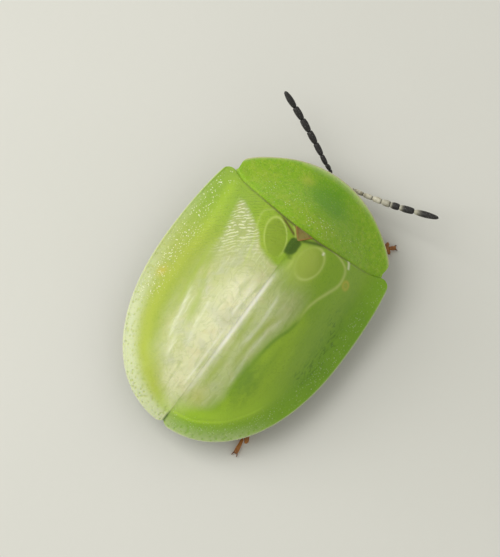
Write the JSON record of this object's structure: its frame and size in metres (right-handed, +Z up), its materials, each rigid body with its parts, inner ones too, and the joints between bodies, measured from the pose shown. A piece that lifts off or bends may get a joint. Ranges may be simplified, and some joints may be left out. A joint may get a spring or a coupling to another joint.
{
  "type": "green tortoise beetle",
  "caption": "Green tortoise beetle at life size: domed wing cases and neck shield with a wide brim, spread antennae and six legs, standing still.",
  "frame": {"origin": "on the floor under the middle of the beetle's bounding box", "axes": "+Y to the head, +X to the beetle's right, +Z up from the soles of the feet"},
  "size_m": [0.0064, 0.0104, 0.0035],
  "materials": {
    "wing_case": "glossy translucent green cuticle, lighter at the brim",
    "neck_shield": "glossy translucent green cuticle, finely pitted",
    "scutellum": "satin reddish-brown cuticle",
    "belly": "dark satin cuticle",
    "head": "dark satin cuticle",
    "eye": "black faceted gloss",
    "antenna": "satin, pale at the base and grey-black in the outer half",
    "leg": "satin orange-brown cuticle"
  },
  "bodies": {
    "root": {"elytron_left": "wing_case", "elytron_right": "wing_case", "pronotum": "neck_shield", "scutellum": "scutellum", "abdomen": "belly", "thorax": "belly", "prothorax": "belly", "head": "head", "eye_left": "eye", "eye_right": "eye", "antenna_left": "antenna", "antenna_right": "antenna", "coxa_front_left": "leg", "femur_front_left": "leg", "tibia_front_left": "leg", "tarsus_front_left": "leg", "coxa_front_right": "leg", "femur_front_right": "leg", "tibia_front_right": "leg", "tarsus_front_right": "leg", "coxa_middle_left": "leg", "femur_middle_left": "leg", "tibia_middle_left": "leg", "tarsus_middle_left": "leg", "coxa_middle_right": "leg", "femur_middle_right": "leg", "tibia_middle_right": "leg", "tarsus_middle_right": "leg", "coxa_hind_left": "leg", "femur_hind_left": "leg", "tibia_hind_left": "leg", "tarsus_hind_left": "leg", "coxa_hind_right": "leg", "femur_hind_right": "leg", "tibia_hind_right": "leg", "tarsus_hind_right": "leg"}
  },
  "joints": []
}
